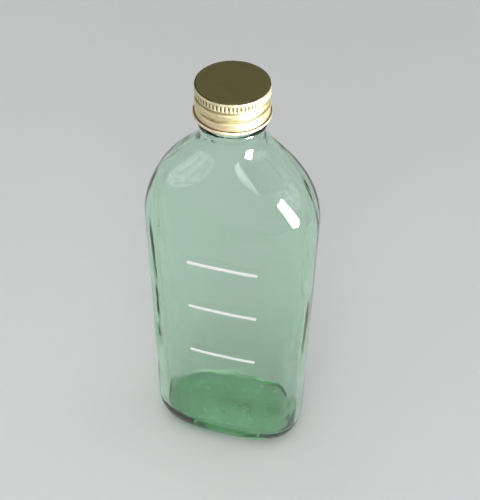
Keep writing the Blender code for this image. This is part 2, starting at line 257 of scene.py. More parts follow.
# Colours and finishes
GLASS_SURFACE_COLOUR = (0.985, 1.0, 0.992)
GLASS_DEPTH_COLOUR = (0.06, 0.76, 0.25)
GLASS_DENSITY = 52.0
GLASS_IOR = 1.52
GOLD = (0.63, 0.55, 0.222)
CLOUDY_GOLD = (0.65, 0.55, 0.240)
# A warm reflection painted on the foot of the cap
WARM_REFLECTION_GOLD = (0.73, 0.54, 0.34)
# Rubbed wear on the rim, ridges and curl, and a sheen painted over the whole side
RUBBED_AND_SHEEN_GOLD = (0.86, 0.80, 0.65)
# Near-black shade painted into the cap's flutes, necking, groove and crease
CAP_PAINTED_SHADE = (0.05, 0.038, 0.017)
WARM_REFLECTION_SHARE = 0.6
RUB_AND_SHEEN_DULLNESS = 0.15
SHADE_DULLNESS = 0.2
LACQUER_COAT = 0.06
LACQUER_COAT_ROUGHNESS = 0.12
THIN_ENAMEL = (0.85, 0.86, 0.85)
ENAMEL = (0.92, 0.92, 0.91)
FOAM = (0.88, 0.88, 0.86)
STAINED_FOAM = (0.80, 0.79, 0.75)
FOAM_CELL_SCALE = 3200.0

# Where the colours are among the sockets of a mix node
MIXED_COLOUR_INPUTS = (6, 7)
MIXED_COLOUR_OUTPUT = 2

# Relief that is too fine for the meshes: its height, and how strongly it shows
DROPLET_RELIEF = (0.0003, 1.0)
LACQUER_RELIEF = (0.00001, 0.2)
ENAMEL_RELIEF = (0.00002, 0.4)
FOAM_RELIEF = (0.00008, 0.5)

# Noise patterns: patches a metre, the band of the noise that is used, and the values that it gives
SMEARS = dict(scale=38.0, detail=4.0, stretch=(1.0, 1.0, 0.6), band=(0.52, 0.75), values=(0.0, 0.05))
SCUFFS = dict(scale=900.0, detail=2.0, stretch=(1.0, 1.0, 0.12), band=(0.66, 0.74), values=(0.0, 0.16))
HAZE = dict(scale=170.0, detail=5.0, band=(0.35, 0.65), values=(0.04, 0.30))
DROPLETS = dict(scale=620.0, detail=4.0, band=(0.38, 0.66))
LACQUER_CLOUDS = dict(scale=70.0)
LACQUER_GLOSS = dict(scale=420.0, detail=5.0, values=(0.37, 0.42))
# Patches over the rubbed wear and the painted sheen
RUB_AND_SHEEN_PATCHES = dict(scale=900.0, values=(0.25, 0.9))
# Patches over the painted shade
SHADE_PATCHES = dict(scale=500.0, values=(0.75, 1.0))
ENAMEL_PATCHES = dict(scale=1500.0, band=(0.25, 0.6))
ENAMEL_GLOSS = dict(scale=2400.0, values=(0.28, 0.50))
FOAM_STAINS = dict(scale=240.0, detail=4.0, band=(0.4, 0.7))
FOAM_GLOSS = dict(scale=700.0, values=(0.72, 0.90))
LACQUER_GRAIN = dict(scale=4200.0, detail=2.0)
ENAMEL_GRAIN = dict(scale=5200.0, detail=2.0)

# The photograph's camera
IMAGE_LONG_SIDE = 500
SENSOR_WIDTH_MM = 36.0
FOCAL_LENGTH_PIXELS = 934.3
CAMERA_AZIMUTH = math.radians(14.41)
CAMERA_ELEVATION = math.radians(45.18)
CAMERA_ROLL = math.radians(0.75)
CAMERA_DISTANCE = 0.39967
CAMERA_TARGET = Vector((0.00355, 0.0, 0.11814))
CAMERA_NEAR = 0.01
CAMERA_FAR = 20.0

# Studio
STAGE_RADIUS = 1.3
STAGE_WALL_RADIUS = 0.45
STAGE_WALL_HEIGHT = 0.62
FLOOR_COLOUR = (0.60, 0.61, 0.61)
FLOOR_ROUGHNESS = 0.8
BACKDROP_COLOUR = (0.55, 0.56, 0.56)
FADE_START = 0.25
FADE_END = 0.70
WORLD_COLOUR = (0.95, 0.98, 1.0)
WORLD_STRENGTH = 0.10

# Lamps: the angles in degrees that each shines from and leans by, its distance from the point on
# the axis that it faces and that point's height, its sides, its power, and which rays miss it
KEY_LAMP = dict(azimuth=64.5, elevation=-5.0, distance=0.50, aim=0.168, width=0.185, height=0.30,
                power=12.5, lean=30.0, unseen=("diffuse", "transmission"))
OVERHEAD_LAMP = dict(azimuth=0.0, elevation=86.0, distance=1.5, aim=0.0, width=1.6, height=1.6,
                     power=21.0, unseen=("glossy",))
FRONT_LAMP = dict(azimuth=10.0, elevation=32.0, distance=1.3, aim=0.1, width=0.9, height=0.9,
                  power=8.0)
RIM_LAMP = dict(azimuth=14.0, elevation=64.0, distance=1.3, aim=0.2, width=0.5, height=0.28,
                power=8.0, unseen=("diffuse",))
ROOM_LEFT = dict(azimuth=-58.0, elevation=8.0, distance=1.5, aim=0.15, width=3.2, height=0.9,
                 power=15.0, unseen=("diffuse", "transmission"))
ROOM_RIGHT = dict(azimuth=88.0, elevation=14.0, distance=1.5, aim=0.15, width=3.0, height=1.2,
                  power=20.0, unseen=("diffuse", "transmission"))
ROOM_PATCHES = dict(scale=11.0, detail=4.0, band=(0.38, 0.60), values=(0.15, 1.5))
ROOM_FADE_SHARE = 0.35


def smooth(value):
    """An S-shaped step from 0 to 1."""
    value = np.clip(value, 0.0, 1.0)
    return value * value * (3 - 2 * value)


def bump_shape(offset):
    """A rounded ridge: 1 in the middle, 0 from an offset of 1 outwards."""
    return np.cos(np.pi / 2 * np.clip(np.abs(offset), 0.0, 1.0)) ** 2


def spread(low, high, steps):
    """Evenly spaced values from low to high, both ends included."""
    return [low + (high - low) * step / steps for step in range(steps + 1)]


def even_angles(count):
    """Angles that divide a full turn evenly."""
    return [math.tau * step / count for step in range(count)]


def direction(azimuth, elevation):
    """The direction at an azimuth, which is 0 in front at -Y and grows towards +X, and an elevation."""
    level = math.cos(elevation)
    return Vector((math.sin(azimuth) * level, -math.cos(azimuth) * level, math.sin(elevation)))


class Shoulder:
    """Half a body's width against height, from its upright side in to the upright neck."""

    def __init__(self, half, neck, crown, fillet, slope_angle):
        drop = half - neck
        self.angle = min(slope_angle, math.acos(max(0.0, 1 - drop / (crown + fillet))))
        self.half = half
        self.neck = neck
        self.crown = crown
        self.fillet = fillet
        turned_in = (crown + fillet) * (1 - math.cos(self.angle))
        self.slope = (drop - turned_in) / math.sin(self.angle)
        self.height = (crown + fillet) * math.sin(self.angle) + self.slope * math.cos(self.angle)

    def half_at(self, height):
        """Half the width at a height above the foot of the neck, negative below it."""
        above_start = height + self.height
        crown_rise = self.crown * math.sin(self.angle)
        slope_rise = self.slope * math.cos(self.angle)
        if above_start <= 0:
            return self.half
        if above_start <= crown_rise:
            return self.half - self.crown + math.sqrt(self.crown ** 2 - above_start ** 2)
        if above_start <= crown_rise + slope_rise:
            crown_in = self.crown * (1 - math.cos(self.angle))
            return self.half - crown_in - (above_start - crown_rise) * math.tan(self.angle)
        if height < 0:
            return self.neck + self.fillet - math.sqrt(self.fillet ** 2 - height ** 2)
        return self.neck


class Columns:
    """The angles round the axis at which a lofted piece has its points."""

    def __init__(self, angles):
        self.angles = np.array(angles)
        self.cosines = np.cos(self.angles)
        self.sines = np.sin(self.angles)

    def ring(self, radii, height):
        """A ring of points: the radii and the height are each a number or one for every angle."""
        radii = np.broadcast_to(radii, self.angles.shape)
        heights = np.broadcast_to(height, self.angles.shape)
        return np.stack([radii * self.cosines, radii * self.sines, heights], axis=1)

    def oval(self, half_x, half_y, exponent):
        """Radii of an oval whose exponent is 2 for an ellipse and higher for a squarer one."""
        wide = np.abs(self.cosines / half_x) ** exponent
        deep = np.abs(self.sines / half_y) ** exponent
        return (wide + deep) ** (-1 / exponent)

    def helical_bump(self, height, start, end, width, crest_height):
        """How much of a helical ridge or groove lies at a height, 0 to 1 on its crest."""
        best = np.zeros(len(self.angles))
        for turn in HELIX_TURNS:
            unwrapped = self.angles + math.tau * turn
            offset = (height - crest_height(unwrapped)) / (width / 2)
            to_end = np.minimum(unwrapped - start, end - unwrapped)
            ends = np.clip(to_end / THREAD_FADE_ANGLE, 0.0, 1.0)
            best = np.maximum(best, ends * bump_shape(offset))
        return best


class GlassSkin:
    """The outer or the inner surface of the glass, inset from the outer one by a wall."""

    def __init__(self, wall, neck):
        self.neck = neck
        self.half_x = HALF_WIDTH - wall
        self.half_y = HALF_DEPTH - wall
        self.side = Shoulder(self.half_x, neck, SIDE_CROWN_RADIUS - wall,
                             SIDE_FILLET_RADIUS + wall, SIDE_SLOPE_ANGLE)
        self.front = Shoulder(self.half_y, neck, FRONT_CROWN_RADIUS - wall,
                              FRONT_FILLET_RADIUS + wall, FRONT_SLOPE_ANGLE)
        self.shoulder_start = NECK_BASE - max(self.side.height, self.front.height)

    def ring(self, columns, height, inset=0.0):
        """The surface's outline at a height, or an oval inset from it."""
        half_x = self.side.half_at(height - NECK_BASE)
        half_y = self.front.half_at(height - NECK_BASE)
        share = (half_x - self.neck) / (self.half_x - self.neck)
        exponent = NECK_EXPONENT + (BODY_EXPONENT - NECK_EXPONENT) * share
        return columns.ring(columns.oval(half_x - inset, half_y - inset, exponent), height)

    def upright_rings(self, columns, start, steps):
        """Rings between a height and the start of the shoulder, both left out."""
        return [self.ring(columns, level) for level in spread(start, self.shoulder_start, steps)[1:-1]]

    def shoulder_rings(self, columns, steps):
        """Rings from the start of the shoulder to the neck, closer together near the neck."""
        rise = NECK_BASE - self.shoulder_start
        return [self.ring(columns, self.shoulder_start + rise * math.sin(turn))
                for turn in spread(0, math.pi / 2, steps)]


def loft(name, rings, first, last=None):
    """A mesh through rings of points, with a single point before them, and one after to close it."""
    rings = np.array(rings)
    count, around = rings.shape[:2]
    after = [(step + 1) % around for step in range(around)]
    points = [first, *rings.reshape(-1, 3).tolist()]
    faces = [(0, 1 + after[step], 1 + step) for step in range(around)]
    for row in range(count - 1):
        low = 1 + row * around
        high = low + around
        faces += [(low + step, low + after[step], high + after[step], high + step)
                  for step in range(around)]
    if last is not None:
        low = len(points) - around
        faces += [(low + step, low + after[step], len(points)) for step in range(around)]
        points.append(last)
    mesh = bpy.data.meshes.new(name)
    mesh.from_pydata(points, [], faces)
    mesh.shade_smooth()
    return mesh


def pushed_out(rings, amounts):
    """Rings of points moved out along their surface by an amount for each point."""
    around = np.roll(rings, -1, axis=1) - np.roll(rings, 1, axis=1)
    across = np.gradient(rings, axis=0)
    normals = np.cross(around, across)
    normals /= np.maximum(np.linalg.norm(normals, axis=2, keepdims=True), TINY)
    return rings + normals * amounts[..., None]


def wander(rings, length, offset):
    """Smooth noise from -1 to 1 at each point, which changes over about a length."""
    places = rings.reshape(-1, 3) / length + offset
    values = [noise.noise(place) for place in places.tolist()]
    return np.array(values).reshape(rings.shape[:2])


def add_piece(name, mesh, material, body, slot, *nodes):
    """A piece of the object: it rides on a body and stands for CAD nodes."""
    piece = bpy.data.objects.new(name, mesh)
    bpy.context.scene.collection.objects.link(piece)
    mesh.materials.append(material)
    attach(piece, body)
    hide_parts(*nodes)


def point_attribute(mesh, name, values):
    """Stores a value for each point, which the materials read by name."""
    attribute = mesh.attributes.new(name, "FLOAT", "POINT")
    attribute.data.foreach_set("value", np.asarray(values, np.float32).ravel())


# Glass

def glass_columns():
    """Even angles, and closer ones beside the two mould seams."""
    near = [seam + side * SEAM_WIDTH / HALF_WIDTH * share
            for seam in (0.0, math.pi) for side in (-1, 1) for share in SEAM_POINT_SHARES]
    return Columns(sorted(even_angles(GLASS_COLUMNS) + [angle % math.tau for angle in near]))


def thread_crest_height(angle):
    """Height of the glass thread's crest at an unwrapped angle, a right-hand helix."""
    return MOUTH_HEIGHT - THREAD_DROP + THREAD_PITCH * (angle - THREAD_END_ANGLE) / math.tau


def push_up_rings(columns, rim_x, rim_y):
    """The shallow push-up in the middle of the base, out to the bearing ring."""
    rings = []
    for share in spread(GLASS_CENTRE_SHARE, 1.0, PUSH_UP_STEPS):
        dome = (PUSH_UP_HEIGHT - STIPPLE_HEIGHT) * (1 - share ** 2) ** 2
        radii = columns.oval(rim_x * share, rim_y * share, BODY_EXPONENT)
        rings.append(columns.ring(radii, STIPPLE_HEIGHT + dome))
    return rings


def base_rings(columns):
    """The underside: a shallow push-up and the stippled bearing ring round it."""
    foot_x = HALF_WIDTH - HEEL_INSET
    foot_y = HALF_DEPTH - HEEL_INSET
    rim_x = foot_x - BEARING_WIDTH
    rim_y = foot_y - BEARING_WIDTH
    rings = push_up_rings(columns, rim_x, rim_y)
    outline = columns.ring(columns.oval(foot_x, foot_y, BODY_EXPONENT), 0.0)
    steps = np.linalg.norm(np.roll(outline, -1, axis=0) - outline, axis=1)
    travel = np.concatenate([[0.0], np.cumsum(steps)[:-1]]) / np.sum(steps)
    stipple = np.clip(np.cos(math.tau * STIPPLE_COUNT * travel) * STIPPLE_SHARPNESS, 0.0, 1.0)
    for across in spread(STIPPLE_MARGIN_SHARE, 1 - STIPPLE_MARGIN_SHARE, BEARING_STEPS):
        half_x = rim_x + BEARING_WIDTH * across
        half_y = rim_y + BEARING_WIDTH * across
        proud = STIPPLE_HEIGHT * stipple * bump_shape((across - 1 / 2) / STIPPLE_SPREAD_SHARE)
        rings.append(columns.ring(columns.oval(half_x, half_y, BODY_EXPONENT), STIPPLE_HEIGHT - proud))
    return rings


def heel_rings(skin, columns):
    """The rounded heel, a quarter of an ellipse, from the bearing ring up to the upright side."""
    rings = []
    for turn in spread(0, math.pi / 2, HEEL_STEPS):
        level = STIPPLE_HEIGHT + (HEEL_HEIGHT - STIPPLE_HEIGHT) * (1 - math.cos(turn))
        rings.append(skin.ring(columns, level, HEEL_INSET * (1 - math.sin(turn))))
    return rings


def floor_shares():
    """How far out the rings of the cavity's floor lie, as shares of the way to its edge."""
    return spread(GLASS_CENTRE_SHARE, 1.0, FLOOR_STEPS)[:-1]


def floor_ring(skin, columns, share):
    """A ring of the cavity's floor, at a share of the way from its middle to its edge."""
    half_x = skin.half_x - FLOOR_INSET_X
    half_y = skin.half_y - FLOOR_INSET_Y
    radii = columns.oval(half_x * share, half_y * share, FLOOR_EXPONENT)
    ring = columns.ring(radii, FLOOR_HEIGHT + FLOOR_RISE * (1 - share ** 2))
    ring[:, 2] += FLOOR_TWIST * (ring[:, 0] / half_x) * (ring[:, 1] / half_y)
    turned = np.array(Matrix.Rotation(FLOOR_TURN_ANGLE, 3, "Z"))
    return ring @ turned.T + np.array(FLOOR_SHIFT)


def floor_edge_rings(skin, columns):
    """The tight round from the floor's edge up to the upright wall, a quarter of an ellipse."""
    foot = floor_ring(skin, columns, 1.0)
    wall = skin.ring(columns, FLOOR_HEIGHT)
    wall[:, 2] = foot[:, 2]
    rings = []
    for turn in spread(0, math.pi / 2, FLOOR_EDGE_STEPS):
        rise = FLOOR_EDGE_HEIGHT * (1 - math.cos(turn))
        rings.append(wall + (foot - wall) * (1 - math.sin(turn)) + np.array([0.0, 0.0, rise]))
    return rings


def neck_rings(columns):
    """The outside of the neck and finish: the bead, the thread and the lip, then into the bore."""
    bead_centre = MOUTH_HEIGHT - BEAD_DROP
    rings = []
    for turn in spread(-math.pi / 2, math.pi / 2, BEAD_STEPS):
        reach = NECK_RADIUS + BEAD_STAND_OUT * math.cos(turn)
        rings.append(columns.ring(reach, bead_centre + BEAD_WIDTH / 2 * math.sin(turn)))
    start = THREAD_END_ANGLE - math.tau * THREAD_TURNS
    low = thread_crest_height(start) - THREAD_WIDTH / 2
    high = thread_crest_height(THREAD_END_ANGLE) + THREAD_WIDTH / 2
    for level in spread(low, high, FINISH_STEPS):
        bump = columns.helical_bump(level, start, THREAD_END_ANGLE, THREAD_WIDTH, thread_crest_height)
        rings.append(columns.ring(NECK_RADIUS + THREAD_DEPTH * bump, level))
    rounding = spread(0, math.pi / 2, LIP_STEPS)
    for edge, side, turns in ((NECK_RADIUS, -1, rounding), (BORE_RADIUS, 1, rounding[::-1])):
        for turn in turns:
            reach = edge + side * LIP_EDGE_RADIUS * (1 - math.cos(turn))
            rings.append(columns.ring(reach, MOUTH_HEIGHT - LIP_EDGE_RADIUS * (1 - math.sin(turn))))
    return rings


def outer_glass(columns):
    """The outside from the middle of the base up to the lip, with its faint swell and its seams."""
    skin = GlassSkin(0.0, NECK_RADIUS)
    body = skin.upright_rings(columns, HEEL_HEIGHT, BODY_STEPS)
    shoulders = skin.shoulder_rings(columns, SHOULDER_STEPS)
    rings = np.array(base_rings(columns) + heel_rings(skin, columns) + body + shoulders)
    rising = smooth(rings[..., 2] / HEEL_HEIGHT)
    swell = OUTER_SWELL * wander(rings, SWELL_LENGTH, OUTER_SWELL_OFFSET)
    past_seam = np.abs(np.sin(columns.angles)) * HALF_WIDTH / (SEAM_WIDTH / 2)
    seam = SEAM_HEIGHT * bump_shape(past_seam)
    return list(pushed_out(rings, (swell + seam) * rising)) + neck_rings(columns)


def inner_glass(columns):
    """The cavity from the bore down to its floor, uneven as blown glass is, most at the floor."""
    skin = GlassSkin(WALL, BORE_RADIUS)
    floor = [floor_ring(skin, columns, share) for share in floor_shares()]
    edge = floor_edge_rings(skin, columns)
    wall = skin.upright_rings(columns, FLOOR_HEIGHT + FLOOR_EDGE_HEIGHT + FLOOR_TWIST, CAVITY_STEPS)
    rings = np.array(floor + edge + wall + skin.shoulder_rings(columns, CAVITY_STEPS))
    heights = rings[..., 2]
    low_down = 1 - smooth(heights / FLOOR_HEIGHT - 1)
    below_neck = 1 - smooth((heights - NECK_BASE) / NECK_LENGTH + 1)
    out_share = np.abs(rings[..., 0]) / HALF_WIDTH
    at_side = smooth((out_share - SIDE_START_SHARE) / (SIDE_END_SHARE - SIDE_START_SHARE))
    swell = INNER_SWELL + (FLOOR_SWELL - INNER_SWELL) * low_down
    run = INNER_RUN * (FRONT_RUN_SHARE + (1 - FRONT_RUN_SHARE) * at_side)
    drawn_out = rings * np.array([1.0, 1.0, RUN_STRETCH_SHARE])
    amounts = swell * wander(rings, SWELL_LENGTH, INNER_SWELL_OFFSET)
    amounts += INNER_RIPPLE * wander(rings, RIPPLE_LENGTH, RIPPLE_OFFSET)
    amounts += run * wander(drawn_out, RUN_LENGTH, RUN_OFFSET)
    return list(pushed_out(rings, amounts * below_neck))[::-1]


def seed_points(skin, degrees, height, length):
    """Points of one bubble: an end, the rings between, and the other end."""
    angle = math.radians(degrees)
    reach = float(np.linalg.norm(skin.ring(Columns([angle]), height)[0][:2])) - SEED_DEPTH
    outward = Vector((math.cos(angle), math.sin(angle), 0.0))
    sideways = Vector((-math.sin(angle), math.cos(angle), 0.0))
    upward = Vector((0.0, 0.0, SEED_HEIGHT_SHARE))
    centre = outward * reach + Vector((0.0, 0.0, height))
    places = [sideways]
    for turn in spread(0, math.pi, SEED_ROWS)[1:-1]:
        for spin in even_angles(SEED_COLUMNS):
            around = upward * math.cos(spin) + outward * SEED_FLATNESS_SHARE * math.sin(spin)
            places.append(sideways * math.cos(turn) + around * math.sin(turn))
    places.append(-sideways)
    return [list(centre + place * length / 2) for place in places]


def add_seeds(mesh):
    """Small bubbles inside the wall, whose surfaces face the air in them."""
    skin = GlassSkin(0.0, NECK_RADIUS)
    points = [list(vertex.co) for vertex in mesh.vertices]
    faces = [list(face.vertices) for face in mesh.polygons]
    for seed in SEEDS:
        near_end = len(points)
        points += seed_points(skin, *seed)
        far_end = len(points) - 1
        first = near_end + 1
        last = far_end - SEED_COLUMNS
        for step in range(SEED_COLUMNS):
            after = (step + 1) % SEED_COLUMNS
            faces.append([near_end, first + after, first + step])
            for low in range(first, last, SEED_COLUMNS):
                high = low + SEED_COLUMNS
                faces.append([low + step, low + after, high + after, high + step])
            faces.append([last + step, last + after, far_end])
    made = bpy.data.meshes.new(mesh.name)
    made.from_pydata(points, [], faces)
    made.validate()
    made.shade_smooth()
    return made


def glass_mesh():
    """The whole bottle, with an attribute that says where a haze has settled in its cavity."""
    columns = glass_columns()
    rings = outer_glass(columns) + inner_glass(columns)
    underside = (0.0, 0.0, PUSH_UP_HEIGHT)
    floor = (FLOOR_SHIFT[0], FLOOR_SHIFT[1], FLOOR_HEIGHT + FLOOR_RISE)
    mesh = add_seeds(loft("flask_glass", rings, underside, floor))
    shares = np.array(floor_shares())
    settled = 1 - smooth((shares - HAZE_START_SHARE) / (1 - HAZE_START_SHARE))
    around = len(columns.angles)
    floor_middle = 1 + len(rings) * around
    hazy = np.zeros(len(mesh.vertices))
    hazy[floor_middle - len(shares) * around:floor_middle] = np.repeat(settled[::-1], around)
    hazy[floor_middle] = 1.0
    point_attribute(mesh, "hazy", hazy)
    return mesh


# Screw cap

def cap_groove_height(angle):
    """Height of the rolled groove, which runs just under the glass thread."""
    # Thread and groove each fall to half their height a quarter of their width from their crest
    quarter_widths = THREAD_WIDTH / 4 + CAP_GROOVE_WIDTH / 4
    return thread_crest_height(angle) - quarter_widths - CAP_THREAD_GAP


def sheet_profile():
    """Middle of the cap's sheet as radius and height, from the top's centre to the curl's edge."""
    half_sheet = CAP_SHEET / 2
    corner = CAP_RIM_RADIUS - half_sheet
    side = CAP_OUTER_RADIUS - half_sheet
    top = CAP_TOP - half_sheet
    points = []
    for share in spread(CAP_CENTRE_SHARE, 1.0, CAP_TOP_STEPS)[:-1]:
        points.append(((side - corner) * share, top - CAP_TOP_DISH * (1 - share ** 2)))
    for turn in spread(0, math.pi / 2, CAP_RIM_STEPS):
        points.append((side - corner + corner * math.sin(turn), top - corner + corner * math.cos(turn)))
    curl_half_height = CURL_HEIGHT / 2 - half_sheet
    curl_half_width = (CURL_OUTER_RADIUS - half_sheet - side) / 2
    curl_middle = CAP_BOTTOM + CURL_HEIGHT / 2
    for level in spread(top - corner, curl_middle, CAP_SIDE_STEPS)[1:]:
        points.append((side, level))
    for turn in spread(math.pi, math.pi + CURL_TURN_ANGLE, CURL_STEPS)[1:]:
        points.append((side + curl_half_width + curl_half_width * math.cos(turn),
                       curl_middle + curl_half_height * math.sin(turn)))
    return np.array(points)


def sheet_depth(columns, height):
    """How far the sheet is pressed in at a height, for every column."""
    knurl_top = CAP_TOP - KNURL_TOP_DROP
    knurl_bottom = knurl_top - KNURL_HEIGHT
    ends = smooth((knurl_top - height) / KNURL_END) * smooth((height - knurl_bottom) / KNURL_END)
    pitch = math.tau / KNURL_COUNT
    past = ((columns.angles / pitch) % 1 - 1 / 2) * pitch * CAP_OUTER_RADIUS
    flute = bump_shape(past / (KNURL_WIDTH / 2)) ** KNURL_EXPONENT
    necking = smooth((knurl_bottom - height) / NECKING_EDGE)
    necking *= smooth((height - knurl_bottom + NECKING_WIDTH) / NECKING_EDGE)
    end = CAP_GROOVE_START_ANGLE + math.tau * CAP_GROOVE_TURNS
    groove = columns.helical_bump(height, CAP_GROOVE_START_ANGLE, end, CAP_GROOVE_WIDTH,
                                  cap_groove_height)
    return KNURL_DEPTH * ends * flute + NECKING_DEPTH * necking + CAP_GROOVE_DEPTH * groove


def cap_rings(columns):
    """Rings over both faces of the sheet, from its middle inside round the curl to its middle on top."""
    middle = sheet_profile()
    along = np.gradient(middle, axis=0)
    along /= np.linalg.norm(along, axis=1, keepdims=True)
    outward = np.stack([-along[:, 1], along[:, 0]], axis=1) * CAP_SHEET / 2
    faces = []
    for side in (1, -1):
        rings = []
        for (radius, height), (_, level) in zip(middle + side * outward, middle):
            held = smooth((level - CAP_BOTTOM - CURL_HEIGHT) / CURL_BLEND)
            in_curl = radius > CAP_OUTER_RADIUS
            depth = 0.0 if in_curl else sheet_depth(columns, level) * held
            rings.append(columns.ring(radius - depth, height))
        faces.append(rings)
    rings = np.array(faces[0] + faces[1][::-1])
    return pushed_out(rings, SHEET_WANDER * wander(rings, SHEET_WANDER_LENGTH, SHEET_OFFSET))[::-1]


def mark_cap_wear(mesh, rings):
    """Attributes for where the cap is rubbed, and where sheen, shade and a warm reflection are painted.
    """
    radii = np.hypot(rings[..., 0], rings[..., 1]).ravel()
    heights = rings[..., 2].ravel()
    past_side = radii - CAP_OUTER_RADIUS
    band = smooth((heights - CAP_TOP + KNURL_TOP_DROP + KNURL_HEIGHT) / KNURL_END)
    proud = smooth(past_side / (KNURL_DEPTH / 2) + 1)
    rim = smooth((heights - CAP_TOP) / CAP_RIM_RADIUS + 1) * proud
    curl = smooth(past_side / (CURL_OUTER_RADIUS - CAP_OUTER_RADIUS))
    # A sheen painted over the whole outer side of the skirt
    side = smooth((past_side + SIDE_SHEEN_REACH) / CAP_RIM_RADIUS)
    most = np.maximum(np.maximum(rim, curl), side * SIDE_SHEEN_SHARE)
    rubbed_and_sheen = np.clip(most + RIDGE_RUB_SHARE * band * proud, 0.0, 1.0)
    # Shade painted into the flutes, necking and groove, and into the crease over the curl
    recess_shade = smooth(-past_side / KNURL_DEPTH) * (past_side > -CAP_RIM_RADIUS)
    recess_shade *= SKIRT_SHADE_SHARE + (1 - SKIRT_SHADE_SHARE) * band
    crease = bump_shape((heights - CAP_BOTTOM - CURL_HEIGHT) / CREASE_WIDTH)
    crease *= CREASE_SHADE_SHARE * (past_side < CREASE_WIDTH)
    # A warm reflection painted on the lower skirt and the curl
    painted_warm_reflection = smooth((CAP_BOTTOM + WARM_REFLECTION_HEIGHT - heights) / WARM_REFLECTION_FADE)
    for name, values in (("rubbed_and_sheen", rubbed_and_sheen), ("recess_shade", np.maximum(recess_shade, crease)), ("painted_warm_reflection", painted_warm_reflection)):
        point_attribute(mesh, name, np.concatenate([[0.0], values, [0.0]]))


def cap_mesh():
    """The whole sheet with both its faces and its wear."""
    rings = cap_rings(Columns(even_angles(CAP_COLUMNS)))
    top = (0.0, 0.0, CAP_TOP - CAP_TOP_DISH)
    inner_top = (0.0, 0.0, CAP_TOP - CAP_TOP_DISH - CAP_SHEET)
    mesh = loft("flask_cap_shell", rings, inner_top, top)
    mark_cap_wear(mesh, rings)
    return mesh


def liner_mesh():
    """The wad, with the ring that the lip of the glass has pressed into its underside."""
    columns = Columns(even_angles(LINER_COLUMNS))
    lip_radius = (NECK_RADIUS + BORE_RADIUS) / 2
    flat_radius = LINER_RADIUS - LINER_EDGE
    rings = []
    for radius in spread(LINER_CENTRE_RADIUS, flat_radius, IMPRINT_STEPS)[:-1]:
        imprint = IMPRINT_DEPTH * bump_shape((radius - lip_radius) / (IMPRINT_WIDTH / 2))
        rings.append(columns.ring(radius, LINER_LOW.z + imprint))
    for turn in spread(-math.pi / 2, math.pi / 2, LINER_EDGE_STEPS):
        level = LINER_LOW.z + LINER_EDGE if turn < 0 else LINER_HIGH.z - LINER_EDGE
        reach = flat_radius + LINER_EDGE * math.cos(turn)
        rings.append(columns.ring(reach, level + LINER_EDGE * math.sin(turn)))
    for radius in spread(flat_radius, LINER_CENTRE_RADIUS, LINER_TOP_STEPS)[1:]:
        rings.append(columns.ring(radius, LINER_HIGH.z))
    return loft("flask_cap_wad", rings, (0.0, 0.0, LINER_LOW.z), (0.0, 0.0, LINER_HIGH.z))


# Printed lines

def line_points(height, surface):
    """Points over a line of enamel on the front of the glass, from row to row across it."""
    points = []
    for share in spread(0, 1, LINE_STEPS):
        along = LINE_LENGTH * (share - 1 / 2)
        to_end = min(share, 1 - share) * LINE_LENGTH / (LINE_WIDTH / 2)
        fullness = min(1.0, LINE_END_SHARE + LINE_END_STEEPNESS * to_end)
        width_share = math.sqrt(1 - (1 - fullness) ** 2)
        middle = height + LINE_SLOPE * along + LINE_BOW * (1 - (2 * share - 1) ** 2)
        for row, turn in enumerate(spread(0, math.pi, LINE_ROWS)):
            inside = 0 < row < LINE_ROWS
            crown_share = math.sin(turn) ** LINE_EDGE_EXPONENT if inside else 0.0
            thick = (LINE_THICKNESS + LINE_SINK) * crown_share * width_share
            level = middle - LINE_WIDTH / 2 * width_share * math.cos(turn)
            start = Vector((LINE_CENTRE_X + along, -HALF_DEPTH * 2, level))
            place, facing, _, _ = surface.ray_cast(start, Vector((0.0, 1.0, 0.0)))
            points.append(place + facing * (thick - LINE_SINK))
    return points


def line_mesh(name, height, surface):
    """A bar of enamel on the front of the glass, with rounded ends and thin rounded edges."""
    row = LINE_ROWS + 1
    faces = []
    for first in range(0, LINE_STEPS * row, row):
        for low in range(first, first + LINE_ROWS):
            faces.append((low, low + row, low + row + 1, low + 1))
        faces.append((first, first + LINE_ROWS, first + row + LINE_ROWS, first + row))
    faces.append(tuple(range(row)))
    faces.append(tuple(range(LINE_STEPS * row + LINE_ROWS, LINE_STEPS * row - 1, -1)))
    mesh = bpy.data.meshes.new(name)
    mesh.from_pydata(line_points(height, surface), [], faces)
    mesh.shade_smooth()
    mesh.set_sharp_from_angle(angle=LINE_SHARP_ANGLE)
    return mesh


# Materials

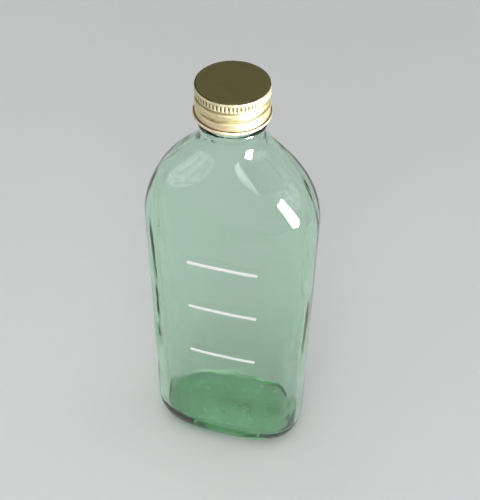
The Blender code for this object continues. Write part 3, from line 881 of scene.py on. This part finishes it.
class NodeTree:
    """A node tree under construction, and the place that its patterns are laid out by."""

    def __init__(self, tree, place_kind, place_output):
        self.tree = tree
        self.place = self.add(place_kind).outputs[place_output]

    def add(self, kind, **settings):
        """A new node of a kind, with its settings."""
        node = self.tree.nodes.new(kind)
        for key, value in settings.items():
            setattr(node, key, value)
        return node

    def link(self, source, target):
        """Joins an output socket to an input socket."""
        self.tree.links.new(source, target)

    def noise(self, scale, detail=3.0, stretch=(1.0, 1.0, 1.0)):
        """A noise texture from 0 to 1, with a scale in cycles a metre along each axis."""
        mapping = self.add("ShaderNodeMapping")
        mapping.inputs["Scale"].default_value = stretch
        self.link(self.place, mapping.inputs["Vector"])
        texture = self.add("ShaderNodeTexNoise")
        texture.inputs["Scale"].default_value = scale
        texture.inputs["Detail"].default_value = detail
        self.link(mapping.outputs["Vector"], texture.inputs["Vector"])
        return texture.outputs["Fac"]

    def ranged(self, source, band, values=(0.0, 1.0), kind="LINEAR"):
        """A band of a source stretched over a range of values."""
        node = self.add("ShaderNodeMapRange", interpolation_type=kind)
        for name, value in zip(("From Min", "From Max", "To Min", "To Max"), (*band, *values)):
            node.inputs[name].default_value = value
        self.link(source, node.inputs["Value"])
        return node.outputs["Result"]

    def pattern(self, band=(0.3, 0.7), values=(0.0, 1.0), **settings):
        """Noise with a band of it stretched over a range of values."""
        return self.ranged(self.noise(**settings), band, values)

    def math(self, operation, first, second):
        """The result of an operation on two values, each a number or a socket."""
        node = self.add("ShaderNodeMath", operation=operation)
        for source, socket in zip((first, second), node.inputs):
            if isinstance(source, (int, float)):
                socket.default_value = source
            else:
                self.link(source, socket)
        return node.outputs["Value"]


class Shading(NodeTree):
    """A node material under construction around its Principled shader."""

    def __init__(self, name):
        self.material = bpy.data.materials.new(name)
        self.material.use_nodes = True
        super().__init__(self.material.node_tree, "ShaderNodeTexCoord", "Object")
        self.shader = self.tree.nodes["Principled BSDF"]
        self.output = self.tree.nodes["Material Output"]

    def set(self, **values):
        """Plain values on the Principled shader's sockets, with spaces written as underscores."""
        for key, value in values.items():
            self.shader.inputs[key.replace("_", " ")].default_value = value

    def feed(self, name, source):
        """Lets a pattern set one of the Principled shader's sockets."""
        self.link(source, self.shader.inputs[name])

    def mix(self, share, first, second):
        """A colour between two, each a colour or a socket."""
        node = self.add("ShaderNodeMix", data_type="RGBA")
        self.link(share, node.inputs["Factor"])
        for source, place in zip((first, second), MIXED_COLOUR_INPUTS):
            if isinstance(source, tuple):
                node.inputs[place].default_value = (*source, 1.0)
            else:
                self.link(source, node.inputs[place])
        return node.outputs[MIXED_COLOUR_OUTPUT]

    def attribute(self, name):
        """A value that the mesh stores for each point."""
        return self.add("ShaderNodeAttribute", attribute_name=name).outputs["Fac"]

    def bump(self, source, relief):
        """Fine relief on the surface, of a height and a strength."""
        node = self.add("ShaderNodeBump")
        node.inputs["Distance"].default_value, node.inputs["Strength"].default_value = relief
        self.link(source, node.inputs["Height"])
        self.feed("Normal", node.outputs["Normal"])


def glass_material():
    """Pale green glass: its colour comes from the depth that light crosses, as in the real thing."""
    made = Shading("bottle_glass")
    made.set(Base_Color=(*GLASS_SURFACE_COLOUR, 1.0), Transmission_Weight=1.0, IOR=GLASS_IOR)
    absorb = made.add("ShaderNodeVolumeAbsorption")
    absorb.inputs["Color"].default_value = (*GLASS_DEPTH_COLOUR, 1.0)
    absorb.inputs["Density"].default_value = GLASS_DENSITY
    made.link(absorb.outputs["Volume"], made.output.inputs["Volume"])
    worn = made.math("ADD", made.pattern(**SMEARS), made.pattern(**SCUFFS))
    hazy = made.attribute("hazy")
    made.feed("Roughness", made.math("ADD", worn, made.math("MULTIPLY", hazy, made.pattern(**HAZE))))
    made.bump(made.math("MULTIPLY", hazy, made.pattern(**DROPLETS)), DROPLET_RELIEF)
    return made.material


def aluminium_material():
    """Satin aluminium under a pale gold lacquer: paler where rubbed and where sheen is painted, warmer
    where a reflection is painted, dull where shade is painted.
    """
    made = Shading("gold_aluminium")
    made.set(Metallic=1.0, Coat_Weight=LACQUER_COAT, Coat_Roughness=LACQUER_COAT_ROUGHNESS)
    # A warm reflection painted low on the cap
    painted_warm_reflection = made.math("MULTIPLY", made.attribute("painted_warm_reflection"), WARM_REFLECTION_SHARE)
    # Rubbed wear, and a sheen painted over the whole side; worn carries both
    worn = made.math("MULTIPLY", made.attribute("rubbed_and_sheen"), made.pattern(**RUB_AND_SHEEN_PATCHES))
    # Shade painted into the flutes, necking, groove and crease
    painted_shade = made.math("MULTIPLY", made.attribute("recess_shade"), made.pattern(**SHADE_PATCHES))
    colour = made.mix(made.pattern(**LACQUER_CLOUDS), GOLD, CLOUDY_GOLD)
    for share, cover in ((painted_warm_reflection, WARM_REFLECTION_GOLD), (worn, RUBBED_AND_SHEEN_GOLD), (painted_shade, CAP_PAINTED_SHADE)):
        colour = made.mix(share, colour, cover)
    made.feed("Base Color", colour)
    rough = made.pattern(**LACQUER_GLOSS)
    for share, dullness in ((worn, RUB_AND_SHEEN_DULLNESS), (painted_shade, SHADE_DULLNESS)):
        rough = made.math("ADD", rough, made.math("MULTIPLY", share, dullness))
    made.feed("Roughness", rough)
    made.bump(made.noise(**LACQUER_GRAIN), LACQUER_RELIEF)
    return made.material


def enamel_material():
    """White enamel fired on the glass, a little greyer where it is thin."""
    made = Shading("white_enamel")
    made.feed("Base Color", made.mix(made.pattern(**ENAMEL_PATCHES), THIN_ENAMEL, ENAMEL))
    made.feed("Roughness", made.pattern(**ENAMEL_GLOSS))
    made.bump(made.noise(**ENAMEL_GRAIN), ENAMEL_RELIEF)
    return made.material


def foam_material():
    """Matt white foam with fine cells and a few stains."""
    made = Shading("liner_foam")
    cells = made.add("ShaderNodeTexVoronoi")
    cells.inputs["Scale"].default_value = FOAM_CELL_SCALE
    made.link(made.place, cells.inputs["Vector"])
    made.feed("Base Color", made.mix(made.pattern(**FOAM_STAINS), FOAM, STAINED_FOAM))
    made.feed("Roughness", made.pattern(**FOAM_GLOSS))
    made.bump(cells.outputs["Distance"], FOAM_RELIEF)
    return made.material


# Stage, lights and camera

def floor_material():
    """A lit pale floor round the object, which fades out into an evenly pale backdrop."""
    made = Shading("pale_floor")
    made.set(Base_Color=(*FLOOR_COLOUR, 1.0), Roughness=FLOOR_ROUGHNESS, Specular_IOR_Level=0.0)
    plain = made.add("ShaderNodeEmission")
    plain.inputs["Color"].default_value = (*BACKDROP_COLOUR, 1.0)
    length = made.add("ShaderNodeVectorMath", operation="LENGTH")
    made.link(made.place, length.inputs[0])
    away = made.ranged(length.outputs["Value"], (FADE_START, FADE_END), kind="SMOOTHSTEP")
    rays = made.add("ShaderNodeLightPath").outputs
    seen = rays["Is Camera Ray"]
    for kind in ("Is Glossy Ray", "Is Transmission Ray"):
        seen = made.math("MAXIMUM", seen, rays[kind])
    mix = made.add("ShaderNodeMixShader")
    made.link(made.math("MULTIPLY", seen, away), mix.inputs["Fac"])
    made.link(made.shader.outputs["BSDF"], mix.inputs[1])
    made.link(plain.outputs["Emission"], mix.inputs[2])
    made.link(mix.outputs["Shader"], made.output.inputs["Surface"])
    return made.material


def stage():
    """A round pale floor that curves up into a low wall, so that every side view has it behind."""
    columns = Columns(even_angles(STAGE_COLUMNS))
    profile = [(STAGE_RADIUS * share, 0.0) for share in STAGE_RING_SHARES]
    for turn in spread(0, math.pi / 2, STAGE_BEND_STEPS)[1:]:
        reach = STAGE_RADIUS + STAGE_WALL_RADIUS * math.sin(turn)
        profile.append((reach, STAGE_WALL_RADIUS * (1 - math.cos(turn))))
    profile.append((STAGE_RADIUS + STAGE_WALL_RADIUS, STAGE_WALL_HEIGHT))
    # The rings run backwards, so that the floor faces up
    mesh = loft("floor", [columns.ring(*place)[::-1] for place in profile], (0.0, 0.0, 0.0))
    mesh.materials.append(floor_material())
    floor = bpy.data.objects.new("floor", mesh)
    bpy.context.scene.collection.objects.link(floor)


def softbox(name, azimuth, elevation, distance, aim, width, height, power, lean=0.0, unseen=()):
    """A rectangular lamp that faces a point on the axis, and never shows to the camera itself."""
    lamp = bpy.data.lights.new(name, "AREA")
    lamp.shape = "RECTANGLE"
    lamp.size = width
    lamp.size_y = height
    lamp.energy = power
    obj = bpy.data.objects.new(name, lamp)
    back = direction(math.radians(azimuth), math.radians(elevation))
    leant = Quaternion((0.0, 0.0, 1.0), math.radians(lean))
    obj.location = Vector((0.0, 0.0, aim)) + back * distance
    obj.rotation_mode = "QUATERNION"
    obj.rotation_quaternion = (-back).to_track_quat("-Z", "Y") @ leant
    obj.visible_camera = False
    obj.visible_diffuse = "diffuse" not in unseen
    obj.visible_glossy = "glossy" not in unseen
    obj.visible_transmission = "transmission" not in unseen
    bpy.context.scene.collection.objects.link(obj)
    return lamp


def feather(lamp):
    """Makes a lamp uneven and fades it out towards its edges, like a pale wall of a room."""
    lamp.use_nodes = True
    made = NodeTree(lamp.node_tree, "ShaderNodeNewGeometry", "Parametric")
    apart = made.add("ShaderNodeSeparateXYZ")
    made.link(made.place, apart.inputs["Vector"])
    strength = made.pattern(**ROOM_PATCHES)
    for side in ("X", "Y"):
        along = apart.outputs[side]
        to_edge = made.math("MINIMUM", along, made.math("SUBTRACT", 1.0, along))
        fade = made.ranged(to_edge, (0.0, ROOM_FADE_SHARE), kind="SMOOTHSTEP")
        strength = made.math("MULTIPLY", strength, fade)
    made.link(strength, made.tree.nodes["Emission"].inputs["Strength"])


def lights():
    """Soft light from above and in front, and lamps that show only in glossy surfaces and glass."""
    # The key makes the highlights on the shoulders and the right of the cap
    softbox("key", **KEY_LAMP)
    softbox("overhead", **OVERHEAD_LAMP)
    softbox("front", **FRONT_LAMP)
    # The rim lamp draws the thin light along the cap's rim and picks out the droplets on the floor
    softbox("rim", **RIM_LAMP)
    # Pale walls of the room, faint in the shoulders
    feather(softbox("room_left", **ROOM_LEFT))
    feather(softbox("room_right", **ROOM_RIGHT))
    world = bpy.data.worlds.new("studio")
    bpy.context.scene.world = world
    world.use_nodes = True
    background = world.node_tree.nodes["Background"]
    background.inputs["Color"].default_value = (*WORLD_COLOUR, 1.0)
    background.inputs["Strength"].default_value = WORLD_STRENGTH


def camera():
    """The photograph's view of the bottle."""
    back = direction(CAMERA_AZIMUTH, CAMERA_ELEVATION)
    level = Vector((math.cos(CAMERA_AZIMUTH), math.sin(CAMERA_AZIMUTH), 0.0))
    upright = back.cross(level)
    right = level * math.cos(CAMERA_ROLL) + upright * math.sin(CAMERA_ROLL)
    up = upright * math.cos(CAMERA_ROLL) - level * math.sin(CAMERA_ROLL)
    lens = bpy.data.cameras.new("camera")
    lens.sensor_width = SENSOR_WIDTH_MM
    lens.lens = FOCAL_LENGTH_PIXELS * SENSOR_WIDTH_MM / IMAGE_LONG_SIDE
    lens.clip_start = CAMERA_NEAR
    lens.clip_end = CAMERA_FAR
    obj = bpy.data.objects.new("camera", lens)
    turned = Matrix((right, up, back)).transposed().to_4x4()
    obj.matrix_world = Matrix.Translation(CAMERA_TARGET + back * CAMERA_DISTANCE) @ turned
    bpy.context.scene.collection.objects.link(obj)
    bpy.context.scene.camera = obj


def build():
    """The camera, the stage, the lights and the six pieces of the bottle."""
    camera()
    stage()
    lights()
    enamel = enamel_material()
    glass = glass_mesh()
    add_piece("flask_glass", glass, glass_material(), "bottle", "bottle_glass", "glass_bottle")
    surface = BVHTree.FromPolygons([vertex.co for vertex in glass.vertices],
                                   [face.vertices for face in glass.polygons])
    for node in LINE_NODES:
        low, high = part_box(node)
        name = node.replace("printed", "enamel")
        bar = line_mesh(name, (low.z + high.z) / 2, surface)
        add_piece(name, bar, enamel, "bottle", "white_enamel", node)
    add_piece("flask_cap_shell", cap_mesh(), aluminium_material(), "cap", "gold_aluminium", "cap_shell")
    add_piece("flask_cap_wad", liner_mesh(), foam_material(), "liner", "liner_foam", "cap_liner")
    bpy.context.scene.view_settings.view_transform = "Standard"


build()
